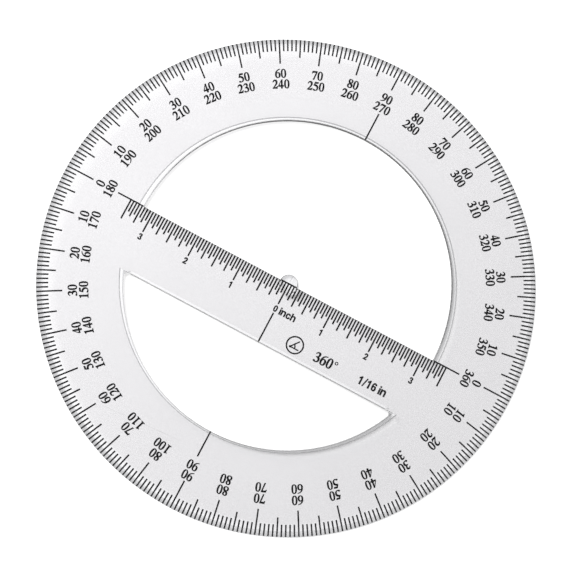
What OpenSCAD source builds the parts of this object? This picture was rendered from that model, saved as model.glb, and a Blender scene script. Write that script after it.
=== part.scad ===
// Clear full-circle protractor with an inch ruler on its crossbar.
// Origin: centre of the degree scale, on the underside of the plate. X runs along the ruler, +Z is up.

/* [Plate] */
// Outside diameter of the ring
outer_d = 250; // [246:1:270]
// Thickness of the moulding
plate_t = 3; // [2.4:0.1:4]
// Width of the slope that runs down to the rim
rim_slope_w = 6.6; // [5:0.1:7.5]
// Width of the steeper band at the foot of that slope
rim_band_w = 2.9; // [1:0.1:4]
// Height at which the slope steepens
rim_band_h = 1.9; // [1.4:0.1:2.1]
// Height of the edge at the rim
rim_edge_h = 0.5; // [0.3:0.1:1]
// Radius of the arc that bounds each opening
opening_r = 81.4; // [80:0.1:82]
// How far each opening's arc centre stands off the scale centre
opening_shift = 1.3; // [0:0.1:1.6]
// Radius at which the ledge around the openings starts
lip_r = 84.3; // [84.3:0.1:87]
// Height of the step down to the ledge around the openings
lip_step = 0.7; // [0.4:0.1:1]
// Drop of the ledge for each millimetre of run
lip_slope = 0.35; // [0.2:0.05:0.4]
// Draft of the walls of the openings, in degrees
wall_draft = 8; // [1:1:10]

/* [Crossbar] */
// Height of the ruler edge against the scale centre
ruler_edge_y = -0.3; // [-1:0.1:-0.3]
// Width of the crossbar
bar_w = 32.8; // [31:0.1:34]
// Radius of the two corners of the lower opening
corner_r = 1.5; // [0.5:0.1:3]
// Chamfer on the ruler edge
ruler_chamfer = 0.6; // [0.2:0.1:1]
// Width of the slope along the lower edge of the crossbar
bar_slope_w = 1.4; // [0.4:0.1:1.6]

/* [Centre tab] */
// Radius of the round tab at the scale centre
tab_r = 4.7; // [4.3:0.1:4.7]
// Thickness of the tab
tab_t = 1.2; // [0.8:0.1:2]
// Width of the engraved centre line on the tab
hairline_w = 0.5; // [0.3:0.1:0.8]

/* [Degree scale] */
// Width of the graduation lines
tick_w = 0.76; // [0.3:0.02:0.9]
// Length of the one-degree lines
one_degree_len = 6.4; // [5:0.1:7]
// Length of the five-degree lines
five_degree_len = 9.6; // [8:0.1:10]
// Length of the ten-degree lines
ten_degree_len = 12.9; // [11:0.1:13.4]
// Extra length of the lines that mark the base line and the bottom of the circle
long_tick_extra = 2; // [0:0.1:2]
// Height of the degree numerals
numeral_h = 4.7; // [3.6:0.1:4.9]
// Distance from the rim to the middle of the outer numerals
outer_row_in = 17.9; // [16.5:0.1:18]
// Distance from the rim to the middle of the inner numerals
inner_row_in = 23.4; // [23.2:0.1:24.5]
// How much further in both rows sit on the base line
base_row_in = 1; // [0:0.1:1.2]

/* [Inch ruler] */
// Width of the ruler lines
ruler_tick_w = 0.8; // [0.3:0.05:0.9]
// Half the length of the ruler, in inches
ruler_half_in = 3.5; // [3:0.5:3.5]
// Length of the shortest ruler lines
shortest_len = 6; // [4:0.1:7]
// Height of the ruler numerals
ruler_numeral_h = 3.4; // [2.5:0.1:3.6]

/* [Print] */
// Thickness of the printed ink
ink_t = 0.03; // [0.01:0.01:0.1]
// Number of straight steps in each curve of a numeral
curve_steps = 4; // [3:1:8]
// How much each stroke of a character gains on both sides, in hundredths of its height
boldness = 3; // [0:0.5:3]

/* [Hidden] */

$fn = 96;
eps = 1;
clear_plastic = [0.9, 0.9, 0.93, 0.45];
ink_black = [0.07, 0.07, 0.08];
inch = 25.4;

outer_r = outer_d / 2;
plain_boldness = boldness * 0.7;
bar_bottom_y = ruler_edge_y - bar_w;

// Corner of the lower opening: a circle that touches the bar's lower edge and the opening's arc
corner_y = bar_bottom_y - corner_r;
corner_x = sqrt(pow(opening_r - corner_r, 2) - pow(corner_y + opening_shift, 2));
ruler_edge_half = sqrt(pow(opening_r, 2) - pow(ruler_edge_y - opening_shift, 2));

// Steps that are short against their height, so that they read as crisp lines from above
lip_step_run = 0.5;
rim_edge_run = 0.3;
bar_slope_drop = 0.48;
ruler_chamfer_run = 0.7 * ruler_chamfer;
tab_edge_run = 0.45;

// The print stops short of the rim, and the base line starts just outside the openings
print_r = outer_r - 0.2;
base_line_start = opening_r + 0.5;
base_line_end = 96.3;
upper_line_end = 98.2;
lower_line_end = 96.7;
centre_line_top_y = -16.5;
edge_gap = 0.2;

// Marks on the crossbar
ruler_numeral_y = -14.2;
inch_legend_x = 2.3;
inch_legend_h = 3.8;
mark_y = -25.8;
badge_x = 16.9;
badge_r = 4.6;
degree_legend_x = 33;
degree_legend_h = 5.4;
division_legend_x = 60.5;
division_legend_h = 4.3;

// Outlines of characters, drawn on a grid where a numeral is 100 high. Two numbers are a corner or
// a point on the curve, and a third number marks a point that pulls the curve towards itself.
// Each character is [outside outline, [inside outlines], width].
PULL = 1;
SERIF = [
    [[[33, 101], [62, 101, PULL], [62, 50], [62, -1, PULL], [33, -1], [4, -1, PULL], [4, 50],
        [4, 101, PULL]],
     [[[33, 95], [47, 95, PULL], [47, 50], [47, 5, PULL], [33, 5], [19, 5, PULL], [19, 50],
        [19, 95, PULL]]], 66],
    [[[12, 0], [55, 0], [55, 4], [41, 4, PULL], [41, 14], [41, 101], [37, 101], [11, 88], [13, 84],
        [26, 89, PULL], [26, 78], [26, 14], [26, 4, PULL], [12, 4]], [], 66],
    [[[4, 0], [54, 0], [61, 25], [57, 25], [53, 15, PULL], [43, 15], [20, 15], [57, 46, PULL],
        [57, 74], [57, 101, PULL], [32, 101], [9, 101, PULL], [5, 73], [9, 72], [14, 88, PULL],
        [26, 88], [41, 88, PULL], [41, 69], [41, 42, PULL], [4, 5]], [], 66],
    [[[6, 79], [13, 101, PULL], [33, 101], [54, 101, PULL], [54, 80], [54, 66, PULL], [42, 58],
        [60, 50, PULL], [60, 30], [60, -1, PULL], [22, -1], [4, -1, PULL], [4, 7], [4, 15, PULL],
        [12, 15], [18, 15, PULL], [24, 9], [28, 5, PULL], [33, 5], [45, 7, PULL], [45, 27],
        [45, 47, PULL], [19, 48], [19, 52], [39, 55, PULL], [39, 75], [39, 90, PULL], [26, 90],
        [16, 90, PULL], [10, 77]], [], 66],
    [[[34, 0], [49, 0], [49, 22], [62, 22], [62, 35], [49, 35], [49, 101], [40, 101], [3, 34],
        [3, 22], [34, 22]],
     [[[34, 82], [34, 35], [10, 35]]], 66],
    [[[20, 99], [59, 99], [54, 84], [25, 84], [21, 72], [60, 66, PULL], [60, 35], [60, -1, PULL],
        [22, -1], [4, -1, PULL], [4, 7], [4, 15, PULL], [12, 15], [18, 15, PULL], [24, 9],
        [28, 5, PULL], [32, 5], [46, 7, PULL], [46, 29], [46, 56, PULL], [8, 58]], [], 66],
    [[[59, 101], [59, 97], [27, 90, PULL], [21, 57], [28, 63, PULL], [37, 63], [62, 63, PULL],
        [62, 33], [62, -1, PULL], [33, -1], [4, -1, PULL], [4, 38], [4, 92, PULL]],
     [[[33, 5], [47, 5, PULL], [47, 30], [47, 56, PULL], [33, 56], [19, 56, PULL], [19, 36],
        [19, 5, PULL]]], 66],
    [[[10, 99], [62, 99], [62, 94], [33, -1], [22, -1], [49, 83], [22, 83], [12, 83, PULL], [7, 71],
        [3, 72]], [], 66],
    [[[32, 101], [58, 101, PULL], [58, 78], [58, 66, PULL], [42, 56], [62, 44, PULL], [62, 25],
        [62, -1, PULL], [32, -1], [4, -1, PULL], [4, 23], [4, 40, PULL], [22, 49], [7, 61, PULL],
        [7, 77], [7, 101, PULL]],
     [[[32, 95], [44, 95, PULL], [44, 79], [44, 67, PULL], [36, 60], [21, 70, PULL], [21, 81],
        [21, 95, PULL]],
      [[27, 45], [47, 33, PULL], [47, 20], [47, 5, PULL], [33, 5], [18, 5, PULL], [18, 24],
        [18, 37, PULL]]], 66],
    [[[7, -1], [7, 3], [39, 10, PULL], [45, 43], [38, 37, PULL], [29, 37], [4, 37, PULL], [4, 67],
        [4, 101, PULL], [33, 101], [62, 101, PULL], [62, 62], [62, 8, PULL]],
     [[[33, 95], [19, 95, PULL], [19, 70], [19, 44, PULL], [33, 44], [47, 44, PULL], [47, 64],
        [47, 95, PULL]]], 66]
];

// Plain characters for the ruler: the numerals 0 to 3 and 6, a slash, and the letters of the unit
PLAIN_0 = [[[32, 101], [62, 101, PULL], [62, 50], [62, -1, PULL], [32, -1], [2, -1, PULL], [2, 50],
        [2, 101, PULL]],
    [[[32, 84], [43, 84, PULL], [43, 50], [43, 16, PULL], [32, 16], [21, 16, PULL], [21, 50],
        [21, 84, PULL]]], 68];
PLAIN_1 = [[[26, 0], [45, 0], [45, 101], [30, 101], [24, 87, PULL], [8, 82], [8, 66],
        [18, 68, PULL], [26, 75]], [], 68];
PLAIN_2 = [[[2, 0], [61, 0], [61, 18], [30, 18], [61, 44, PULL], [61, 71], [61, 101, PULL],
        [32, 101], [4, 101, PULL], [4, 68], [22, 66], [22, 84, PULL], [32, 84], [42, 84, PULL],
        [42, 70], [42, 52, PULL], [2, 12]], [], 68];
PLAIN_3 = [[[3, 73], [6, 101, PULL], [31, 101], [58, 101, PULL], [58, 75], [58, 59, PULL], [45, 53],
        [61, 46, PULL], [61, 28], [61, -1, PULL], [31, -1], [3, -1, PULL], [1, 28], [19, 30],
        [20, 15, PULL], [31, 15], [42, 15, PULL], [42, 30], [42, 44, PULL], [27, 44], [27, 60],
        [39, 60, PULL], [39, 72], [39, 84, PULL], [30, 84], [21, 84, PULL], [20, 70]], [], 68];
PLAIN_6 = [[[59, 76], [55, 101, PULL], [33, 101], [2, 101, PULL], [2, 48], [2, -1, PULL], [32, -1],
        [61, -1, PULL], [61, 32], [61, 64, PULL], [35, 64], [26, 64, PULL], [20, 56],
        [21, 85, PULL], [32, 85], [40, 85, PULL], [41, 73]],
    [[[31, 49], [42, 49, PULL], [42, 32], [42, 15, PULL], [32, 15], [21, 15, PULL], [21, 32],
        [21, 49, PULL]]], 68];
SLASH = [[[2, -4], [14, -4], [44, 105], [32, 105]], [], 46];
LETTER_I = [[[0, 0], [19, 0], [19, 74], [0, 74]], [], 28];
LETTER_N = [[[0, 0], [19, 0], [19, 42], [19, 60, PULL], [34, 60], [47, 60, PULL], [47, 44], [47, 0],
        [66, 0], [66, 47], [66, 77, PULL], [40, 77], [26, 77, PULL], [18, 66], [18, 75], [0, 75]],
    [], 76];
LETTER_C = [[[62, 26], [57, -2, PULL], [33, -2], [0, -2, PULL], [0, 37], [0, 77, PULL], [33, 77],
        [57, 77, PULL], [62, 51], [43, 47], [42, 61, PULL], [33, 61], [19, 61, PULL], [19, 37],
        [19, 14, PULL], [33, 14], [42, 14, PULL], [43, 29]], [], 71];
LETTER_H = [[[0, 0], [19, 0], [19, 42], [19, 60, PULL], [34, 60], [47, 60, PULL], [47, 44], [47, 0],
        [66, 0], [66, 47], [66, 77, PULL], [40, 77], [26, 77, PULL], [19, 67], [19, 101], [0, 101]],
    [], 76];
I_DOT_H = 16;
I_DOT_Y = 86;
RULER_NUMERALS = [PLAIN_0, PLAIN_1, PLAIN_2, PLAIN_3];

function spot(p) = [p[0], p[1]];
function is_pull(p) = len(p) == 3;
function bend(a, c, b, t) = a * pow(1 - t, 2) + c * 2 * t * (1 - t) + b * pow(t, 2);

// Points of a closed outline, with each pulled stretch as a quadratic curve
function outline(path) = [
    for (i = [0 : len(path) - 1])
        let (
            before = path[(i + len(path) - 1) % len(path)],
            here = path[i],
            after = path[(i + 1) % len(path)],
            last = is_pull(after) ? curve_steps : curve_steps - 1,
            start = is_pull(before) ? (spot(before) + spot(here)) / 2 : spot(before),
            end = is_pull(after) ? (spot(here) + spot(after)) / 2 : spot(after)
        )
        each is_pull(here)
            ? [for (k = [1 : last]) bend(start, spot(here), end, k / curve_steps)]
            : [spot(here)]
];

function cross_z(a, b) = a[0] * b[1] - a[1] * b[0];
function ones(n) = [for (i = [1 : n]) 1];

// The path of a character's outline moved outwards by d all along, whichever way round it runs
function grown(path, d) =
    let (
        n = len(path),
        points = [for (p = path) spot(p)],
        way = sign([for (i = [0 : n - 1]) cross_z(points[i], points[(i + 1) % n])] * ones(n)),
        sides = [for (i = [0 : n - 1]) points[(i + 1) % n] - points[i]],
        normals = [for (side = sides) [side[1], -side[0]] * way / norm(side)]
    )
    [for (i = [0 : n - 1])
        let (
            a = normals[(i + n - 1) % n],
            b = normals[i],
            moved = points[i] + (a + b) * d / max(1 + a * b, 0.6)
        )
        is_pull(path[i]) ? [moved[0], moved[1], PULL] : moved];

// One unit of the character grid, for a character h high over strokes that gained on both sides
function unit(h, gain) = h / (100 + 2 * gain);

function digits(n) = n < 10 ? [n] : concat(digits(floor(n / 10)), [n % 10]);
function span(chars, upto) = upto == 0 ? 0 : chars[upto - 1][2] + span(chars, upto - 1);

// Degree values: 0 to 90 and back in the outer row, and a full turn clockwise in the inner row
function quadrant_value(a) = a <= 90 ? a : a <= 180 ? 180 - a : a <= 270 ? a - 180 : 360 - a;
function circle_value(a) = 360 - a;

module half_plane(y, up) {
    translate([-2 * outer_r, up ? y : y - 2 * outer_r, -eps])
        cube([4 * outer_r, 2 * outer_r, plate_t + 2 * eps]);
}

module character(c, h, gain) {
    difference() {
        polygon(outline(grown(c[0], gain)) * unit(h, gain));
        for (inside = c[1]) polygon(outline(grown(inside, -gain)) * unit(h, gain));
    }
}

module ink() {
    color(ink_black) translate([0, 0, -ink_t]) linear_extrude(ink_t) children();
}

// A row of characters, centred on x = 0 and on half their height
module printed_row(chars, h, gain) {
    u = unit(h, gain);
    width = span(chars, len(chars)) * u;
    for (i = [0 : len(chars) - 1])
        translate([span(chars, i) * u - width / 2, -50 * u, 0]) ink() character(chars[i], h, gain);
}

module printed_line(x, y, w, l) {
    translate([x, y, 0]) ink() square([w, l]);
}

module radial_line(angle, from_r, to_r, w) {
    rotate(angle) printed_line(from_r, -w / 2, to_r - from_r, w);
}

module degree_numbers(row_in, circle_row) {
    for (a = [0 : 10 : 350]) {
        on_base_line = a % 180 == 0;
        r = outer_r - row_in - (on_base_line ? base_row_in : 0);
        value = circle_row ? circle_value(a) : quadrant_value(a);
        rotate(a - 90) translate([0, r, 0])
            printed_row([for (d = digits(value)) SERIF[d]], numeral_h, boldness);
    }
}

// Ruler lines of one kind: every sixteenth whose index is an odd multiple of step, or any of step
module ruler_lines(step, odd_only, extra_len) {
    count = ruler_half_in * 16;
    for (k = [-count : count]) {
        x = k * inch / 16;
        meets_base_line = abs(x) < tab_r || abs(x) > ruler_edge_half;
        top = meets_base_line ? -tick_w / 2 : ruler_edge_y;
        bottom = -shortest_len - extra_len;
        if (k % step == 0 && (!odd_only || abs(k / step) % 2 == 1))
            printed_line(x - ruler_tick_w / 2, bottom, ruler_tick_w, top - bottom);
    }
}

module turned_blank() {
    rotate_extrude()
        polygon([[0, 0], [outer_r, 0], [outer_r - rim_edge_run, rim_edge_h],
            [outer_r - rim_band_w, rim_band_h], [outer_r - rim_slope_w, plate_t], [0, plate_t]]);
}

// Upright hole of radius r at the underside, which widens upwards by the draft
module drafted_hole(r) {
    translate([0, 0, -eps])
        cylinder(r1 = r - eps * tan(wall_draft), r2 = r + (plate_t + eps) * tan(wall_draft),
            h = plate_t + 2 * eps);
}

module opening_disc(side) {
    translate([0, side * opening_shift, 0]) drafted_hole(opening_r);
}

// Step and sloped ledge around the openings, cut as a ring
module lip_cut() {
    inner_r = opening_r - 2 * eps;
    floor_r = lip_r - lip_step_run;
    floor_z = plate_t - lip_step;
    rotate_extrude()
        polygon([[inner_r, floor_z - (floor_r - inner_r) * lip_slope], [floor_r, floor_z],
            [lip_r, plate_t], [lip_r, plate_t + eps], [inner_r, plate_t + eps]]);
}

module upper_opening() {
    intersection() {
        opening_disc(1);
        half_plane(ruler_edge_y, true);
    }
}

// The lower opening's sharp tip on one side, which its round corner replaces
module sharp_tip(side) {
    tip = [corner_x, corner_y];
    reach = 4 * corner_r;
    arc_way = [corner_x, corner_y + opening_shift] / (opening_r - corner_r);
    translate([0, 0, -2 * eps]) linear_extrude(plate_t + 4 * eps) mirror([side < 0 ? 1 : 0, 0])
        polygon([tip, tip + [0, reach], tip + [2 * reach, reach], tip + arc_way * reach]);
}

// Everything below the crossbar, bounded by a wall that leans back by the draft
module below_bar() {
    translate([0, bar_bottom_y, 0]) rotate([-wall_draft, 0, 0])
        translate([-2 * outer_r, -2 * outer_r, -2 * outer_r])
            cube([4 * outer_r, 2 * outer_r, 4 * outer_r]);
}

module lower_opening() {
    difference() {
        intersection() {
            opening_disc(-1);
            below_bar();
        }
        for (side = [-1, 1]) sharp_tip(side);
    }
    for (side = [-1, 1]) translate([side * corner_x, corner_y, 0]) drafted_hole(corner_r);
}

// Three-sided bar that takes the top corner off a straight edge along X
module edge_slope(y, into, run, drop, half_len) {
    translate([-half_len, y, plate_t]) rotate([90, 0, 90]) linear_extrude(2 * half_len)
        polygon([[-into * eps, eps], [-into * eps, -drop * (1 + eps / run)],
            [into * run * (1 + eps / drop), eps]]);
}

module hairline() {
    side = hairline_w / sqrt(2);
    translate([0, tab_r * 0.18, tab_t]) rotate([0, 45, 0])
        translate([-side / 2, 0, -side / 2]) cube([side, tab_r * 0.74, side]);
}

// Hollow over the tab, where it reaches into the crossbar
module tab_pocket() {
    depth = plate_t - tab_t;
    spread = tab_edge_run * (1 + eps / depth);
    translate([0, 0, tab_t]) cylinder(r1 = tab_r, r2 = tab_r + spread, h = depth + eps);
}

module plate() {
    color(clear_plastic) difference() {
        union() {
            difference() {
                turned_blank();
                upper_opening();
                lower_opening();
                intersection() {
                    lip_cut();
                    half_plane(0, true);
                }
                intersection() {
                    lip_cut();
                    half_plane(bar_bottom_y + edge_gap, false);
                }
                edge_slope(ruler_edge_y, -1, ruler_chamfer_run, ruler_chamfer, ruler_edge_half);
                edge_slope(bar_bottom_y, 1, bar_slope_w, bar_slope_drop, corner_x);
                tab_pocket();
            }
            cylinder(r1 = tab_r, r2 = tab_r - tab_edge_run, h = tab_t);
        }
        hairline();
    }
}

module one_degree_ticks() {
    for (a = [0 : 359])
        if (a % 5 != 0) radial_line(a, outer_r - one_degree_len, print_r, tick_w);
}

module five_degree_ticks() {
    for (a = [5 : 10 : 355]) radial_line(a, outer_r - five_degree_len, print_r, tick_w);
}

module ten_degree_ticks() {
    for (a = [0 : 10 : 350]) {
        extra = a == 0 || a == 180 || a == 270 ? long_tick_extra : 0;
        radial_line(a, outer_r - ten_degree_len - extra, print_r, tick_w);
    }
}

module outer_numerals() {
    degree_numbers(outer_row_in, false);
}

module inner_numerals() {
    degree_numbers(inner_row_in, true);
}

module base_line() {
    for (a = [0, 180]) radial_line(a, base_line_start, base_line_end, tick_w);
    radial_line(0, -tab_r + edge_gap, tab_r - edge_gap, tick_w);
}

module quadrant_lines() {
    start = opening_r + opening_shift + edge_gap;
    radial_line(90, start, upper_line_end, tick_w);
    radial_line(270, start, lower_line_end, tick_w);
}

module bar_centre_line() {
    bottom = bar_bottom_y + edge_gap;
    printed_line(-tick_w / 2, bottom, tick_w, centre_line_top_y - bottom);
}

module sixteenth_inch_ticks() {
    ruler_lines(1, true, 0);
}

module eighth_inch_ticks() {
    ruler_lines(2, true, 1.8);
}

module quarter_inch_ticks() {
    ruler_lines(4, true, 3.7);
}

module half_inch_ticks() {
    ruler_lines(8, true, 4.7);
}

module inch_ticks() {
    ruler_lines(16, false, 5.6);
}

module inch_numerals() {
    for (i = [-floor(ruler_half_in) : floor(ruler_half_in)])
        translate([i * inch, ruler_numeral_y, 0])
            printed_row([RULER_NUMERALS[abs(i)]], ruler_numeral_h, plain_boldness);
}

// The dot over a letter i that starts at x, in a row whose middle is at y
module letter_i_dot(x, y, h) {
    u = unit(h, plain_boldness);
    bottom = y + (I_DOT_Y - 50 - plain_boldness) * u;
    w = LETTER_I[0][1][0] + 2 * plain_boldness;
    printed_line(x - plain_boldness * u, bottom, w * u, (I_DOT_H + 2 * plain_boldness) * u);
}

module inch_legend() {
    word = [LETTER_I, LETTER_N, LETTER_C, LETTER_H];
    width = span(word, len(word)) * unit(inch_legend_h, plain_boldness);
    translate([inch_legend_x + width / 2, ruler_numeral_y, 0])
        printed_row(word, inch_legend_h, plain_boldness);
    letter_i_dot(inch_legend_x, ruler_numeral_y, inch_legend_h);
}

// A plain sign for an angle: two arms and an arc in a ring
module angle_badge() {
    ring_w = badge_r * 0.16;
    line_w = badge_r * 0.14;
    vertex = [-0.42, -0.36] * badge_r;
    arc_r = badge_r * 0.62;
    translate([badge_x, mark_y, 0]) {
        ink() difference() {
            circle(badge_r);
            circle(badge_r - ring_w);
        }
        translate([vertex[0], vertex[1], 0]) ink() {
            translate([0, -line_w / 2]) square([badge_r * 1.02, line_w]);
            rotate(52) translate([0, -line_w / 2]) square([badge_r * 1.2, line_w]);
            circle(line_w * 0.9);
            intersection() {
                difference() {
                    circle(arc_r);
                    circle(arc_r - line_w);
                }
                polygon([[0, 0], [arc_r * 2, 0], [arc_r * 2, arc_r * 2.56]]);
            }
        }
    }
}

module degree_legend() {
    translate([degree_legend_x, mark_y, 0]) {
        printed_row([SERIF[3], SERIF[6], SERIF[0]], degree_legend_h, boldness);
        translate([degree_legend_h * 1.2, degree_legend_h * 0.3, 0]) ink() difference() {
            circle(degree_legend_h * 0.17);
            circle(degree_legend_h * 0.09);
        }
    }
}

module division_legend() {
    number = [PLAIN_1, SLASH, PLAIN_1, PLAIN_6];
    unit_name = [LETTER_I, LETTER_N];
    gap = division_legend_h * 0.3;
    u = unit(division_legend_h, plain_boldness);
    number_w = span(number, len(number)) * u;
    unit_w = span(unit_name, len(unit_name)) * u;
    unit_x = (number_w + gap - unit_w) / 2;
    translate([division_legend_x, mark_y, 0]) {
        translate([-(gap + unit_w) / 2, 0, 0])
            printed_row(number, division_legend_h, plain_boldness);
        translate([unit_x + unit_w / 2, 0, 0])
            printed_row(unit_name, division_legend_h, plain_boldness);
        letter_i_dot(unit_x, 0, division_legend_h);
    }
}

plate();
one_degree_ticks();
five_degree_ticks();
ten_degree_ticks();
outer_numerals();
inner_numerals();
base_line();
quadrant_lines();
bar_centre_line();
sixteenth_inch_ticks();
eighth_inch_ticks();
quarter_inch_ticks();
half_inch_ticks();
inch_ticks();
inch_numerals();
inch_legend();
angle_badge();
degree_legend();
division_legend();
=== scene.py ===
"""Clear full-circle protractor lying on a white table, seen from above."""
import math

import bpy
from mathutils import Matrix, Vector


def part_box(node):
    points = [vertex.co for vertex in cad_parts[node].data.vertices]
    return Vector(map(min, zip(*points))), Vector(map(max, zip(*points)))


MM = 0.001

# The photograph's view: how the camera is turned against the object, and how far off it stands
VIEW_TURN_DEG = (-6.587, 4.426, -27.733)
VIEW_OFFSET = Vector((0.40 * MM, 2.07 * MM, 0.0))
VIEW_DISTANCE = 789.7 * MM
SENSOR_MM = 36.0
LENS_MM = 98.96
CLIP_START = 0.01

PLASTIC_IOR = 1.49
INK_COLOUR = (0.008, 0.008, 0.009)
INK_LIGHTER = 2.2
INK_ROUGHNESS = 0.45

# How a face points: the upward part of its outward normal. 1 is level and facing up, 0 is upright.
# Each pair is where a mask starts and where it is full.
LEVEL_FACE = (0.93, 0.985)
SLOPED_FACE = (0.955, 0.965)
LEDGE_FACE = (0.9, 0.93)
UNDER_FACE = (-0.96, -0.945)
ROUNDED_FACE = (0.86, 0.925)
STEEP_FACE = (0.5, 0.75)
WALL_FACE = (0.25, 0.45)

# Where on the plate a face is: height, and distance from the scale's centre
TOP_HEIGHT = 2.7 * MM
TOP_BAND = 0.5 * MM
RIM_START = 118.2 * MM
RIM_END = 124.4 * MM
RIM_FOOT_WIDTH = 2.0 * MM
TAB_END = 6.5 * MM
REGION_BLEND = 0.5 * MM
ARC_START = 78.0 * MM
ARC_BLEND = 1.0 * MM
ARC_SHIFT = 1.3 * MM
ARC_EDGE = 82.0 * MM
ARC_EDGE_BLEND = 0.1 * MM

# What the plastic lets through where the camera sees it, as a share, by which face it is and where.
# The lighter tints of the slopes and the rim's first facet are painted light. The darker tints of
# the ledge's brink, the rim's bands, foot and edge, rounded faces, walls, steps and edges are
# painted shade.
# Both stand in for the bright bands and dark lines that refraction makes.
# These are fitted by tone to the photograph's view. They aren't measured optical values.
FLAT_TOP = (0.842, 0.838, 0.844)
SLOPE_LIGHT_PAINTED = (0.99, 0.99, 0.995)
LEDGE_EDGE_SHADE_PAINTED = (0.66, 0.66, 0.665)
RIM_LIGHT_PAINTED = (0.935, 0.935, 0.94)
RIM_BAND_SHADE_PAINTED = (0.68, 0.68, 0.685)
RIM_FOOT_SHADE_PAINTED = (0.58, 0.58, 0.585)
RIM_EDGE_SHADE_PAINTED = (0.64, 0.64, 0.645)
ROUNDED_SHADE_PAINTED = (0.80, 0.80, 0.81)
ARC_WALL_SHADE_PAINTED = (0.8, 0.8, 0.805)
STEP_SHADE_PAINTED = (0.34, 0.34, 0.345)
BAR_EDGE_SHADE_PAINTED = (0.32, 0.32, 0.325)
TAB = (0.90, 0.90, 0.905)
TAB_EDGE_SHADE_PAINTED = (0.12, 0.12, 0.125)
UNDERSIDE = (0.965, 0.965, 0.968)

# What the plastic passes to lamp and diffuse rays, in place of refracting them: a wall that the
# light leaves by, a wall that it enters by and is bent aside, and the ledge. Also fitted by tone.
WALL_OUT = (0.64, 0.64, 0.64)
WALL_IN = (0.36, 0.36, 0.36)
LEDGE_LIT = (0.91, 0.91, 0.91)

# Haze on the flat: slow clouds, a little darker than the rest
CLOUD_SCALE = 28.0
CLOUD_RANGE = (0.3, 0.7)
CLOUD_TONE = 0.992

# Wear: fine straight marks in two directions, each kept to patches (turn, patches per metre)
MARK_SETS = ((0.6, 14.0), (-0.9, 11.0))
MARK_STRETCH = (6, 900, 1)
MARK_LINES = (0.70, 0.74)
MARK_PATCHES = (0.52, 0.62)
MARK_TINT = (0.6, 0.6, 0.6)
MARK_SHARE = 0.06
MARK_ROUGHNESS = 0.12
GLOSS_SCALE = 60.0
GLOSS_ROUGHNESS = 0.03

# One long faint scratch across the ring: a line y = rise * x + offset, between two x values
SCRATCH_RISE = 0.062
SCRATCH_OFFSET = -93.2 * MM
SCRATCH_FROM = -56.0 * MM
SCRATCH_TO = -8.0 * MM
SCRATCH_FADE = 8.0 * MM
SCRATCH_WIDTH = 0.35 * MM
SCRATCH_CORE = 0.3
SCRATCH_SHARE = 0.3

FLOOR_SIZE = 6
FLOOR_GAP = 0.01 * MM
PAPER_DARK = (0.885, 0.885, 0.885)
PAPER_LIGHT = (0.915, 0.915, 0.915)
PAPER_GRAIN = 700.0

# The room: brightness by height above the horizon (1 is straight up)
ROOM = ((0.0, 0.04), (0.12, 0.2), (0.32, 0.7), (0.7, 0.52), (0.88, 0.22), (1.0, 0.14))
ROOM_STRENGTH = 2.0
KEY_PLACE = (-1.24, 0.43, 0.92)
KEY_SIZE = (0.8, 0.6)
KEY_POWER = 52.0


def new_material(name):
    material = bpy.data.materials.new(name)
    material.use_nodes = True
    tree = material.node_tree
    tree.nodes.clear()
    return material, tree, tree.nodes.new("ShaderNodeOutputMaterial")


def maths(tree, operation, a, b=None):
    """A maths node; a and b are sockets or numbers."""
    node = tree.nodes.new("ShaderNodeMath")
    node.operation = operation
    for socket, value in zip(node.inputs, (a, b)):
        if value is None:
            continue
        if isinstance(value, (int, float)):
            socket.default_value = value
        else:
            tree.links.new(value, socket)
    return node.outputs[0]


def ramp(tree, value, start, end, low=0.0, high=1.0):
    """value mapped from start..end to low..high, smoothly and clamped."""
    node = tree.nodes.new("ShaderNodeMapRange")
    node.interpolation_type = "SMOOTHSTEP"
    for name, number in (("From Min", start), ("From Max", end), ("To Min", low), ("To Max", high)):
        node.inputs[name].default_value = number
    tree.links.new(value, node.inputs["Value"])
    return node.outputs["Result"]


def fade(tree, value, start, end):
    """1 before start and 0 after end."""
    return ramp(tree, value, start, end, 1.0, 0.0)


def product(tree, a, b):
    return maths(tree, "MULTIPLY", a, b)


def split(tree, vector):
    """A vector's X, Y and Z sockets, by name."""
    node = tree.nodes.new("ShaderNodeSeparateXYZ")
    tree.links.new(vector, node.inputs[0])
    return node.outputs


def blend(tree, factor, a, b, kind="MIX"):
    """A colour mix; a and b are sockets or RGB triples."""
    node = tree.nodes.new("ShaderNodeMix")
    node.data_type = "RGBA"
    node.blend_type = kind
    sockets = [i for i in node.inputs if i.type == "RGBA"]
    for socket, value in zip(sockets, (a, b)):
        if isinstance(value, tuple):
            socket.default_value = (*value, 1)
        else:
            tree.links.new(value, socket)
    if isinstance(factor, (int, float)):
        node.inputs["Factor"].default_value = factor
    else:
        tree.links.new(factor, node.inputs["Factor"])
    return [o for o in node.outputs if o.type == "RGBA"][0]


def noise(tree, scale, detail=2.0, stretch=(1, 1, 1), turn=0.0):
    """Noise in the object's own metres; scale is its lumps per metre."""
    place = tree.nodes.new("ShaderNodeTexCoord")
    frame_of = tree.nodes.new("ShaderNodeMapping")
    frame_of.inputs["Scale"].default_value = stretch
    frame_of.inputs["Rotation"].default_value = (0, 0, turn)
    tree.links.new(place.outputs["Object"], frame_of.inputs["Vector"])
    node = tree.nodes.new("ShaderNodeTexNoise")
    node.inputs["Scale"].default_value = scale
    node.inputs["Detail"].default_value = detail
    tree.links.new(frame_of.outputs[0], node.inputs["Vector"])
    return node.outputs["Fac"]


def scratches(tree, turn, where):
    """Fine straight marks along one direction, kept to a few patches. 1 on a mark."""
    lines = ramp(tree, noise(tree, 1.0, 1.0, MARK_STRETCH, turn), *MARK_LINES)
    patches = ramp(tree, noise(tree, where, 1.0), *MARK_PATCHES)
    return product(tree, lines, patches)


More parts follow.
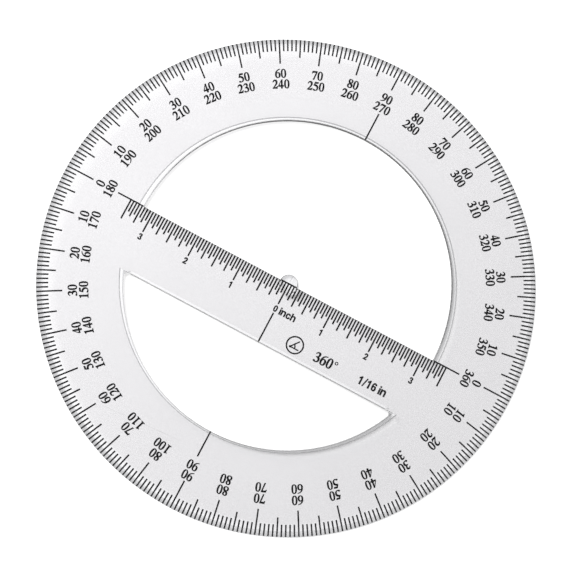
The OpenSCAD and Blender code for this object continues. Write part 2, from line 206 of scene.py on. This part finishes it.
def long_scratch(tree, place):
    """The long scratch, fading out towards both ends. 1 on it."""
    x = place["X"]
    line = maths(tree, "ADD", product(tree, x, SCRATCH_RISE), SCRATCH_OFFSET)
    off = maths(tree, "ABSOLUTE", maths(tree, "SUBTRACT", place["Y"], line))
    ends = product(tree, ramp(tree, x, SCRATCH_FROM, SCRATCH_FROM + SCRATCH_FADE),
                   fade(tree, x, SCRATCH_TO - SCRATCH_FADE, SCRATCH_TO))
    return product(tree, ends, fade(tree, off, SCRATCH_CORE * SCRATCH_WIDTH, SCRATCH_WIDTH))


def plate_masks(tree, place, backfacing):
    """Masks for the plate's faces, each 1 on its own kind of face or region."""
    shape = tree.nodes.new("ShaderNodeNewGeometry")
    outside = maths(tree, "SUBTRACT", 1.0, product(tree, backfacing, 2.0))
    facing = product(tree, split(tree, shape.outputs["Normal"])["Z"], outside)
    tilt = maths(tree, "ABSOLUTE", facing)
    across = product(tree, place["X"], place["X"])
    along = product(tree, place["Y"], place["Y"])
    radius = maths(tree, "SQRT", maths(tree, "ADD", across, along))
    masks = {
        "top": product(tree, ramp(tree, facing, *LEVEL_FACE),
                       ramp(tree, place["Z"], TOP_HEIGHT - TOP_BAND, TOP_HEIGHT)),
        "rim": ramp(tree, radius, RIM_START, RIM_START + REGION_BLEND),
        "foot": ramp(tree, radius, RIM_END - RIM_FOOT_WIDTH, RIM_END),
        "tab": fade(tree, radius, TAB_END, TAB_END + REGION_BLEND),
        "arc": ramp(tree, radius, ARC_START, ARC_START + ARC_BLEND),
        "wall": fade(tree, tilt, *WALL_FACE),
        "under": fade(tree, facing, *UNDER_FACE),
        "rounded": fade(tree, tilt, *ROUNDED_FACE),
        "steep": fade(tree, tilt, *STEEP_FACE),
    }
    slope = fade(tree, facing, *SLOPED_FACE)
    masks["ledge"] = product(tree, product(tree, masks["arc"], slope),
                             ramp(tree, facing, *LEDGE_FACE))
    # The openings' arcs are centred ARC_SHIFT above and below the scale's centre
    side = maths(tree, "SUBTRACT", maths(tree, "ABSOLUTE", place["Y"]), ARC_SHIFT)
    reach = maths(tree, "SQRT", maths(tree, "ADD", across, product(tree, side, side)))
    masks["brink"] = product(tree, masks["ledge"], fade(
        tree, reach, ARC_EDGE - ARC_EDGE_BLEND, ARC_EDGE + ARC_EDGE_BLEND))
    # Where light is bent aside. These rays are traced towards the lamp, so a wall that one meets
    # from inside the plastic is a wall that the light enters by. The tab counts as bent all over.
    masks["bent"] = maths(tree, "MAXIMUM", product(tree, backfacing, masks["arc"]), masks["tab"])
    return masks


def plate_tints(tree, place, masks, marks):
    """Two colours: what the camera sees through the plate, with painted light and shade by face,
    and what lamp and diffuse rays get.
    """
    cloud = ramp(tree, noise(tree, CLOUD_SCALE, 3.0), *CLOUD_RANGE, -0.5, 0.5)
    cloudy = tuple(c * CLOUD_TONE for c in FLAT_TOP)
    hazed = blend(tree, maths(tree, "ADD", 0.5, cloud), cloudy, FLAT_TOP)
    hazed = blend(tree, product(tree, marks, MARK_SHARE), hazed, MARK_TINT)
    scratch = long_scratch(tree, place)
    hazed = blend(tree, product(tree, scratch, SCRATCH_SHARE), hazed, MARK_TINT)

    # Painted light and shade: slopes and the rim's first facet get lighter tints and the ledge's
    # brink a darker one, in place of the bright bands that refraction makes
    painted_slope_tone = blend(tree, masks["rim"], blend(tree, masks["brink"], SLOPE_LIGHT_PAINTED, LEDGE_EDGE_SHADE_PAINTED), RIM_LIGHT_PAINTED)
    painted_slope_tone = blend(tree, masks["tab"], painted_slope_tone, TAB)
    seen_with_painted_light = blend(tree, masks["under"], blend(tree, masks["top"], painted_slope_tone, hazed), UNDERSIDE)
    # Painted shade: the rim's outer band and foot, and other rounded faces, get darker tints in
    # place of the grey bands of refraction
    painted_rim_shade = blend(tree, masks["foot"], RIM_BAND_SHADE_PAINTED, RIM_FOOT_SHADE_PAINTED)
    seen_with_painted_light = blend(tree, masks["rounded"], seen_with_painted_light, blend(tree, masks["rim"], ROUNDED_SHADE_PAINTED, painted_rim_shade))

    lit = blend(tree, masks["wall"], blend(tree, masks["ledge"], seen_with_painted_light, LEDGE_LIT),
                blend(tree, masks["bent"], WALL_OUT, WALL_IN))

    # Painted shade: steep faces, walls, steps and edges get dark tints that draw the dark lines of
    # refraction and shadow along them
    painted_edge_shade = blend(tree, masks["arc"], BAR_EDGE_SHADE_PAINTED, blend(tree, masks["wall"], STEP_SHADE_PAINTED, ARC_WALL_SHADE_PAINTED))
    painted_edge_shade = blend(tree, masks["rim"], painted_edge_shade, RIM_EDGE_SHADE_PAINTED)
    painted_edge_shade = blend(tree, masks["tab"], painted_edge_shade, TAB_EDGE_SHADE_PAINTED)
    return blend(tree, masks["steep"], seen_with_painted_light, painted_edge_shade), lit


def clear_plastic():
    """Clear moulded plastic: faintly hazed on top, with painted light on its slopes and painted
    shade at its edges.
    """
    material, tree, output = new_material("clear_plastic")
    spot = tree.nodes.new("ShaderNodeTexCoord")
    place = split(tree, spot.outputs["Object"])
    backfacing = tree.nodes.new("ShaderNodeNewGeometry").outputs["Backfacing"]
    marks = maths(tree, "MAXIMUM", *(scratches(tree, *marked) for marked in MARK_SETS))
    masks = plate_masks(tree, place, backfacing)
    seen_with_painted_light, lit = plate_tints(tree, place, masks, marks)

    glass = tree.nodes.new("ShaderNodeBsdfPrincipled")
    # Squared, because a tint is applied as its root each time light goes through a surface
    tree.links.new(blend(tree, 1.0, seen_with_painted_light, seen_with_painted_light, "MULTIPLY"), glass.inputs["Base Color"])
    gloss = product(tree, noise(tree, GLOSS_SCALE, 3.0), GLOSS_ROUGHNESS)
    rough = maths(tree, "ADD", product(tree, marks, MARK_ROUGHNESS), gloss)
    tree.links.new(rough, glass.inputs["Roughness"])
    glass.inputs["IOR"].default_value = PLASTIC_IOR
    glass.inputs["Transmission Weight"].default_value = 1.0
    through = tree.nodes.new("ShaderNodeBsdfTransparent")
    tree.links.new(lit, through.inputs["Color"])
    path = tree.nodes.new("ShaderNodeLightPath")
    either = maths(tree, "MAXIMUM", path.outputs["Is Shadow Ray"], path.outputs["Is Diffuse Ray"])
    mix = tree.nodes.new("ShaderNodeMixShader")
    tree.links.new(either, mix.inputs[0])
    tree.links.new(glass.outputs[0], mix.inputs[1])
    tree.links.new(through.outputs[0], mix.inputs[2])
    tree.links.new(mix.outputs[0], output.inputs["Surface"])
    return material


def black_ink():
    """Matte black printing ink, a little uneven in tone and gloss."""
    material, tree, output = new_material("black_ink")
    ink = tree.nodes.new("ShaderNodeBsdfPrincipled")
    uneven = ramp(tree, noise(tree, 900.0, 3.0), 0.35, 0.7)
    lighter = tuple(c * INK_LIGHTER for c in INK_COLOUR)
    tree.links.new(blend(tree, uneven, INK_COLOUR, lighter), ink.inputs["Base Color"])
    rough = maths(tree, "ADD", INK_ROUGHNESS, product(tree, uneven, 0.2))
    tree.links.new(rough, ink.inputs["Roughness"])
    tree.links.new(ink.outputs[0], output.inputs["Surface"])
    return material


def table_top():
    """White paper-like table, with a very fine grain."""
    material, tree, output = new_material("table_top")
    paper = tree.nodes.new("ShaderNodeBsdfPrincipled")
    grain = noise(tree, PAPER_GRAIN, 4.0)
    tree.links.new(blend(tree, grain, PAPER_DARK, PAPER_LIGHT), paper.inputs["Base Color"])
    paper.inputs["Roughness"].default_value = 0.8
    paper.inputs["Specular IOR Level"].default_value = 0.2
    tree.links.new(paper.outputs[0], output.inputs["Surface"])
    return material


def build_floor(height):
    bpy.ops.mesh.primitive_plane_add(size=FLOOR_SIZE, location=(0, 0, height))
    floor = bpy.context.object
    floor.name = "floor"
    floor.data.materials.append(table_top())


def build_camera():
    turn = Matrix.Identity(4)
    for axis, degrees in zip("XYZ", VIEW_TURN_DEG):
        turn = turn @ Matrix.Rotation(math.radians(degrees), 4, axis)
    data = bpy.data.cameras.new("camera")
    data.sensor_width = SENSOR_MM
    data.lens = LENS_MM
    data.clip_start = CLIP_START
    camera = bpy.data.objects.new("camera", data)
    bpy.context.scene.collection.objects.link(camera)
    back = turn.transposed()
    place = back @ (Vector((0, 0, VIEW_DISTANCE)) - VIEW_OFFSET)
    camera.matrix_world = Matrix.Translation(place) @ back
    bpy.context.scene.camera = camera


def area_light(name, place, size, power):
    """A rectangular lamp aimed at the scale's centre."""
    data = bpy.data.lights.new(name, "AREA")
    data.shape = "RECTANGLE"
    data.size, data.size_y = size
    data.energy = power
    light = bpy.data.objects.new(name, data)
    bpy.context.scene.collection.objects.link(light)
    light.location = place
    aim = -light.location
    light.rotation_euler = aim.to_track_quat("-Z", "Y").to_euler()
    return light


def build_world():
    """A white tent over a dim room: brightest half way up, softer overhead, dark at the horizon."""
    world = bpy.data.worlds.new("studio")
    bpy.context.scene.world = world
    world.use_nodes = True
    tree = world.node_tree
    background = tree.nodes["Background"]
    place = tree.nodes.new("ShaderNodeTexCoord")
    bands = tree.nodes.new("ShaderNodeValToRGB")
    bands.color_ramp.interpolation = "EASE"
    stops = bands.color_ramp.elements
    while len(stops) < len(ROOM):
        stops.new(0.5)
    for stop, (height, level) in zip(stops, ROOM):
        stop.position = height
        grey = level / ROOM_STRENGTH
        stop.color = (grey, grey, grey, 1)
    tree.links.new(split(tree, place.outputs["Generated"])["Z"], bands.inputs["Fac"])
    tree.links.new(bands.outputs["Color"], background.inputs["Color"])
    background.inputs["Strength"].default_value = ROOM_STRENGTH


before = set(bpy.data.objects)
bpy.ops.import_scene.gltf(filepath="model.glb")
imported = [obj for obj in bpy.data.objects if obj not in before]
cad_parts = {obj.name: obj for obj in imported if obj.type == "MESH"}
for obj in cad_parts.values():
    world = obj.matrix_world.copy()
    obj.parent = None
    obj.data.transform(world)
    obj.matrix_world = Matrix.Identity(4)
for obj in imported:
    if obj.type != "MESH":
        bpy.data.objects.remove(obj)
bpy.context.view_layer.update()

plastic = clear_plastic()
ink = black_ink()
for name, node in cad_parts.items():
    node.data.materials.clear()
    node.data.materials.append(plastic if name == "plate" else ink)

build_floor(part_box("outer_numerals")[0].z - FLOOR_GAP)
build_camera()
build_world()
# The lamp is hidden from reflection and refraction, where its glare hid the marks and left sparkles
key = area_light("key", KEY_PLACE, KEY_SIZE, KEY_POWER)
key.visible_glossy = False
key.visible_transmission = False

bpy.context.scene.view_settings.view_transform = "Standard"
